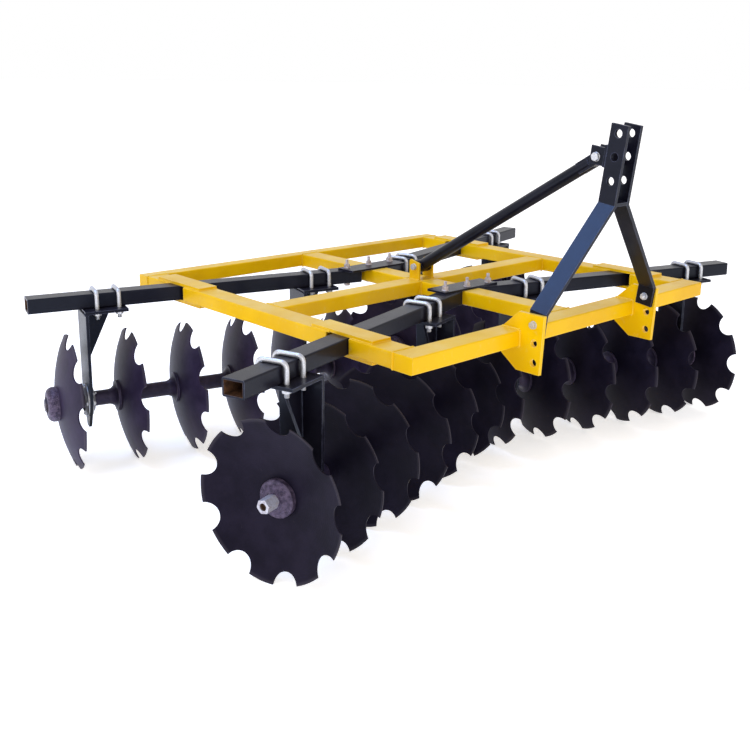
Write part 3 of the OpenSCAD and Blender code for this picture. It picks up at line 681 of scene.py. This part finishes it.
flange_bolt, flange_tail, flange_pitch, flange_turn = 0.008, 0.0075, 0.00125, 0.5
nipple_out, nipple_rise, nipple_splay, nipple_up = 0.0415, 0.0085, 0.8, 0.6
nipple_lean = math.radians(50)
pressed = lathe([(radius, face + rise) for radius, rise in FLANGE], sides=64)
bolt = fused(hexagon(flange_flats, flange_head), threaded_end(flange_bolt, flange_tail, flange_pitch))
for k in range(4):
    angle = k * math.pi / 2
    spot = (flange_circle * math.cos(angle), flange_circle * math.sin(angle), face + flange_thick)
    pressed = fused(pressed, copy_at(bolt, put(spot, spin=angle + flange_turn)))
nipple = lathe(NIPPLE, sides=16)
outward = Vector((-math.cos(nipple_lean), math.sin(nipple_lean), 0))
spot = nipple_out * outward + Vector((0, 0, face + nipple_rise))
pressed = fused(pressed, copy_at(nipple, put(spot, nipple_splay * outward + Vector((0, 0, nipple_up)))))
drop(bolt, nipple)
seal = lathe(SEAL)

seal_black, seal_smear, seal_grain = (0.012, 0.012, 0.013, 1), (0.035, 0.028, 0.022, 1), 0.0003
rubber, shader, place = new_finish("dark_seal", Specular_IOR_Level=0.35)
smear = place.noise(150.0, 4.0, 0.6)
colour = smear.step(0.4, 0.7).mix(seal_black, seal_smear)
surface(place, shader, colour, 0.5 + 0.25 * smear, smear, seal_grain)
lay_along = Matrix.Rotation(math.pi / 2, 4, "Y")
for end, side in GANGS:
    flanges, seals = [], []
    for leg in LEGS[end]:
        spot = hanger_frame(end, side, leg) @ Matrix.Translation((0, 0, axle_height)) @ lay_along
        seals.append(copy_at(seal, spot))
        for turn in (0, math.pi):
            flanges.append(copy_at(pressed, spot @ Matrix.Rotation(turn, 4, "X")))
    piece = gather(f"bearing_flanges_{end}_{side}", flanges, zinc, "frame")
    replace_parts(piece, f"bearings_{end}_{side}")
    gather(f"bearing_seals_{end}_{side}", seals, rubber, "frame")
drop(pressed, seal)

# Gangs: dished discs of hard steel, notched round the rim, clamped between cast spools on a
# square bar; the discs wear a thin blue-black, the castings the same over a grainy skin, and the
# washer and cap at the ends of the stack are chalkier. Disc rims and casting edges are paler:
# wear, and partly a painted highlight. The rear gangs are painted paler than the front as lit
# copies, their discs partly also for more bare oxide.
disc_reach, rim_wear_glint_band, rim_wear_glint_full, lap_marks = 0.230, 0.012, 0.001, 900.0
STACK = {"front": (0.076, 1.076), "rear": (0.182, 1.182)}
tip_in, tip_out = 0.006, 0.004
# Chalk on the stack's washer and cap, heavier on the rear gangs as painted light.
CHALK_REAR_LIT_PALER = {"front": 0.4, "rear": 1.0}
# Disc ink, the rear gangs' paler: partly more bare oxide, partly painted light as they are lit.
INK_REAR_LIT_PALER = {"front": ((0.0048, 0.0040, 0.0092, 1), (0.0105, 0.0085, 0.0180, 1)),
       "rear": ((0.0160, 0.0115, 0.0270, 1), (0.0320, 0.0235, 0.0500, 1))}
cast_dark, cast_violet = (0.011, 0.009, 0.021, 1), (0.034, 0.025, 0.052, 1)
bare_dark, bare_violet = (0.024, 0.017, 0.034, 1), (0.083, 0.062, 0.104, 1)
bare_chalk, cast_edge_wear_glint = (0.17, 0.135, 0.19, 1), (0.17, 0.14, 0.19, 1)
worn_steel_glint = (0.06, 0.054, 0.065, 1)
cast_grain, disc_grain = 0.0006, 0.0003


def axle_radius(place, end, side):
    """Distance from the gang's axle line."""
    _, across, upright = along_gang(place, end, side, axle_height)
    return (across ** 2 + upright ** 2) ** 0.5


for end, side in GANGS:
    material, shader, place = new_finish(f"casting_{end}_{side}", Specular_IOR_Level=0.3,
                                         Specular_Tint=(0.78, 0.74, 1.0, 1))
    along, _, _ = along_gang(place, end, side, axle_height)
    inner, outer = STACK[end]
    tip = along.step(outer - tip_in, outer - tip_out) + 1.0 - along.step(inner + tip_out, inner + tip_in)
    cloud = place.noise(14.0, 5.0, 0.6)
    grain = place.noise(260.0, 4.0, 0.65)
    mottle = place.noise(70.0, 4.0, 0.6)
    dark = cloud.step(0.4, 0.7).mix(cast_dark, cast_violet)
    bare = mottle.step(0.35, 0.65).mix(bare_dark, bare_violet)
    bare = (grain.step(0.5, 0.75) * CHALK_REAR_LIT_PALER[end]).mix(bare, bare_chalk)
    skin = tip.mix(dark, bare)
    # Casting edges paled in patches: wear, and partly a painted highlight.
    skin = (edges(place, 0.003) * mottle.step(0.3, 0.6) * 0.5).mix(skin, cast_edge_wear_glint)
    surface(place, shader, skin, 0.38 + 0.2 * grain, grain, cast_grain)
    dress(f"spools_{end}_{side}", material)
    material, shader, place = new_finish(f"disc_paint_{end}_{side}", Specular_IOR_Level=0.08,
                                         Specular_Tint=(0.85, 0.75, 1.0, 1))
    radius = axle_radius(place, end, side)
    cloud = place.noise(9.0, 5.0, 0.6)
    scuff = place.noise(55.0, 6.0, 0.7)
    lap = place.maths("SINE", radius * lap_marks)
    # Paler rim band and scuffs: wear, with the rim partly a painted highlight.
    worn_rim_glint = radius.step(disc_reach - rim_wear_glint_band, disc_reach - rim_wear_glint_full) * 0.4 + scuff.step(0.62, 0.8) * 0.2
    ink = cloud.step(0.35, 0.7).mix(*INK_REAR_LIT_PALER[end])
    rough = 0.34 + 0.14 * cloud + 0.1 * scuff
    surface(place, shader, worn_rim_glint.mix(ink, worn_steel_glint), rough, 0.15 * lap + scuff, disc_grain)
    dress(f"discs_{end}_{side}", material)

# Axles: a square bar through each gang, drawn up on the discs' hollow side by a long hexagon nut
# of dull zinc with a hollow end, against a plain head let into the cap on the other side.
nut_flats, nut_long, nut_hollow, nut_deep, nut_flare = 0.036, 0.044, 0.019, 0.014, 0.0012
nut_chamfer, nut_turn, head_turn, cut_over = 0.06, 0.2, 0.5, 0.0001
rim = nut_hollow / 2 + nut_flare
stain_in, stain_out = rim - 0.0006, rim + 0.0001
head_flats, head_long, bar_side, bar_round = 0.040, 0.012, 0.030, 0.0015
AXLE_ENDS = {"front": (1.107, 0.048), "rear": (0.151, 1.210)}
mill_dark, mill_grey, mill_grain = (0.028, 0.022, 0.03, 1), (0.10, 0.08, 0.10, 1), 0.0004
dull_grey, dull_brown = (0.50, 0.50, 0.56, 1), (0.31, 0.28, 0.31, 1)
bore_brown = (0.10, 0.058, 0.04, 1)
sooty, shader, place = new_finish("sooty_bar", Specular_IOR_Level=0.35)
scale = place.noise(140.0, 5.0, 0.65)
colour = scale.step(0.35, 0.7).mix(mill_dark, mill_grey)
surface(place, shader, colour, 0.42 + 0.25 * scale, scale, mill_grain, 0.35 * scale)
nut = hexagon(nut_flats, nut_long, nut_chamfer)
bpy.ops.object.select_all(action="DESELECT")
bpy.ops.mesh.primitive_cone_add(vertices=32, radius1=nut_hollow / 2, radius2=rim, depth=nut_deep,
                                location=(0, 0, nut_long - nut_deep / 2 + cut_over))
carve(nut, bpy.context.object, "DIFFERENCE")
head = hexagon(head_flats, head_long)
for end, side in GANGS:
    body = f"gang_{end}_{side}"
    nut_at, head_at = AXLE_ENDS[end]
    middle = gang_frame(end, side) @ Matrix.Translation((0, 0, axle_height))
    outward = 1 if nut_at > head_at else -1
    dull_zinc, shader, place = new_finish(f"dull_zinc_{end}_{side}", Specular_IOR_Level=0.5)
    hollow = 1.0 - axle_radius(place, end, side).step(stain_in, stain_out)
    bloom = place.noise(110.0, 5.0, 0.65)
    grey = bloom.step(0.4, 0.7).mix(dull_grey, dull_brown)
    stained = hollow.mix(grey, bore_brown)
    bright = 0.4 - 0.3 * bloom.step(0.45, 0.75)
    surface(place, shader, stained, 0.4 + 0.2 * bloom, bloom, bolt_grain, bright)
    twin = copy_at(nut, middle @ put((nut_at, 0, 0), (outward, 0, 0), nut_turn))
    gather(f"axle_nut_{end}_{side}", [twin], dull_zinc, body)
    bpy.ops.object.select_all(action="DESELECT")
    bpy.ops.mesh.primitive_cube_add(size=1)
    bar = bpy.context.object
    bar.dimensions = (abs(nut_at - head_at), bar_side, bar_side)
    bpy.ops.object.transform_apply(scale=True)
    bpy.ops.object.mode_set(mode="EDIT")
    bpy.ops.mesh.bevel(offset=bar_round, segments=2)
    bpy.ops.object.mode_set(mode="OBJECT")
    bar.data.transform(middle @ Matrix.Translation(((nut_at + head_at) / 2, 0, 0)))
    cap = copy_at(head, middle @ put((head_at, 0, 0), (-outward, 0, 0), head_turn))
    piece = gather(f"axle_bar_{end}_{side}", [bar, cap], sooty, body)
    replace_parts(piece, f"axle_{end}_{side}")
drop(nut, head)

# Hitch: yellow plates fitted round the front rail and lugs on the middle rail, both welded on;
# a mast of two bent bars bolted inside the plates; a round brace back to the lugs, whose tops
# slope down to the front.
hitch_low, hitch_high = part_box("hitch_plate_right")
_, lug_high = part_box("brace_lugs")
machine_y = (mid_low.y + mid_high.y) / 2
hitch_back, hitch_bead, lug_thick, lug_wide, lug_tall = 0.070, 0.005, 0.008, 0.050, 0.075
lug_slope, lug_clip, lug_round = 0.24, 0.007, 0.0008
pin_up_rail, pin_size, pin_play = 0.048, 0.016, 0.0005
lug_x, lug_top = lug_high.x - lug_thick / 2, top + lug_tall
lug_rear, lug_front = machine_y - lug_wide / 2, machine_y + lug_wide / 2
bpy.ops.object.select_all(action="DESELECT")
bpy.ops.mesh.primitive_cube_add(size=1, location=(lug_x, machine_y, top + lug_tall / 2))
lug = bpy.context.object
lug.dimensions = (lug_thick, lug_wide, lug_tall)
bpy.ops.object.transform_apply(location=True, scale=True)
bpy.ops.object.mode_set(mode="EDIT")
for corner_z, cut_way in ((lug_top, (0, lug_slope, 1)), (lug_top - lug_clip, (0, -1, 1))):
    bpy.ops.mesh.select_all(action="SELECT")
    bpy.ops.mesh.bisect(plane_co=(0, lug_rear, corner_z), plane_no=cut_way, clear_outer=True,
                        use_fill=True)
bpy.ops.mesh.select_all(action="SELECT")
bpy.ops.mesh.bevel(offset=lug_round, segments=2)
bpy.ops.mesh.normals_make_consistent(inside=False)
bpy.ops.object.mode_set(mode="OBJECT")
bpy.ops.object.select_all(action="DESELECT")
bpy.ops.mesh.primitive_cylinder_add(vertices=32, radius=pin_size / 2 + pin_play, depth=3 * lug_thick,
                                    location=(lug_x, machine_y, top + pin_up_rail),
                                    rotation=(0, math.pi / 2, 0))
carve(lug, bpy.context.object, "DIFFERENCE")
lugs = [lug, copy_at(lug, Matrix.Diagonal((-1, 1, 1, 1)))]
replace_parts(gather("brace_lug_plates", lugs, yellow_paint, "frame"), "brace_lugs")
lines = []
for side in (-1, 1):
    for x in (side * hitch_low.x, side * hitch_high.x):
        for z in (top, low):
            lines.append(((x, front_high.y - hitch_back, z), (x, front_high.y, z)))
        lines.append(((x, front_high.y, low), (x, front_high.y, top)))
    for x in (side * lug_high.x, side * (lug_high.x - lug_thick)):
        lines.append(((x, lug_rear, top), (x, lug_front, top)))
seams = [weld_line(a, b, hitch_bead) for a, b in lines]
gather("hitch_welds", seams, yellow_paint, "frame")
for node in ("mast_leg_right", "mast_leg_left", "mast_bracket", "mast_brace"):
    dress(node, black_paint)

# Mast bolts: four hexagon bolts with washers and nuts, bright zinc, at the mast's two feet and at
# both ends of the brace.
bolt_head, bolt_tail, bolt_ring, bolt_pitch, ring_share = 0.0096, 0.008, 0.002, 0.002, 0.61
mast_out, mast_ahead, mast_foot_z, mast_lean = 0.291, 0.779, 0.627, math.radians(8)
pin_up, brace_back, brace_drop = 0.485, 0.074, 0.004
foot_grip, head_grip, lug_grip = 0.024, 0.054, 0.076
bolt_turn, turn_by_grip = 0.3, 9
small, large = (0.020, 0.0135), (0.024, pin_size)
foot_right = Vector((mast_out, machine_y + mast_ahead, mast_foot_z))
foot_left = Vector((-mast_out, machine_y + mast_ahead, mast_foot_z))
brace_head = Vector((0, foot_right.y + pin_up * math.sin(mast_lean) - brace_back,
                     foot_right.z + pin_up * math.cos(mast_lean) - brace_drop))
brace_foot = Vector((0, machine_y, top + pin_up_rail))
BOLTS = ((foot_right, foot_grip, 1, small), (foot_left, foot_grip, -1, small),
         (brace_head, head_grip, 1, large), (brace_foot, lug_grip, 1, small))
parts = []
for spot, grip, way, (flats, size) in BOLTS:
    head, ring = hexagon(flats, bolt_head - bolt_ring), washer(flats * ring_share, size / 2, bolt_ring)
    head_way = Vector((way, 0, 0))
    for out in (head_way, -head_way):
        parts.append(copy_at(ring, put(spot + out * grip / 2, out)))
        head_spot = spot + out * (grip / 2 + bolt_ring)
        parts.append(copy_at(head, put(head_spot, out, bolt_turn + grip * turn_by_grip)))
    shank = threaded_end(size, grip + bolt_head + bolt_tail, bolt_pitch, grip)
    shank.data.transform(put(spot + head_way * grip / 2, -head_way))
    parts.append(shank)
    drop(head, ring)
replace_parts(gather("mast_bolt_set", parts, zinc, "frame"), "mast_bolts")

drop(*BEADS.values())
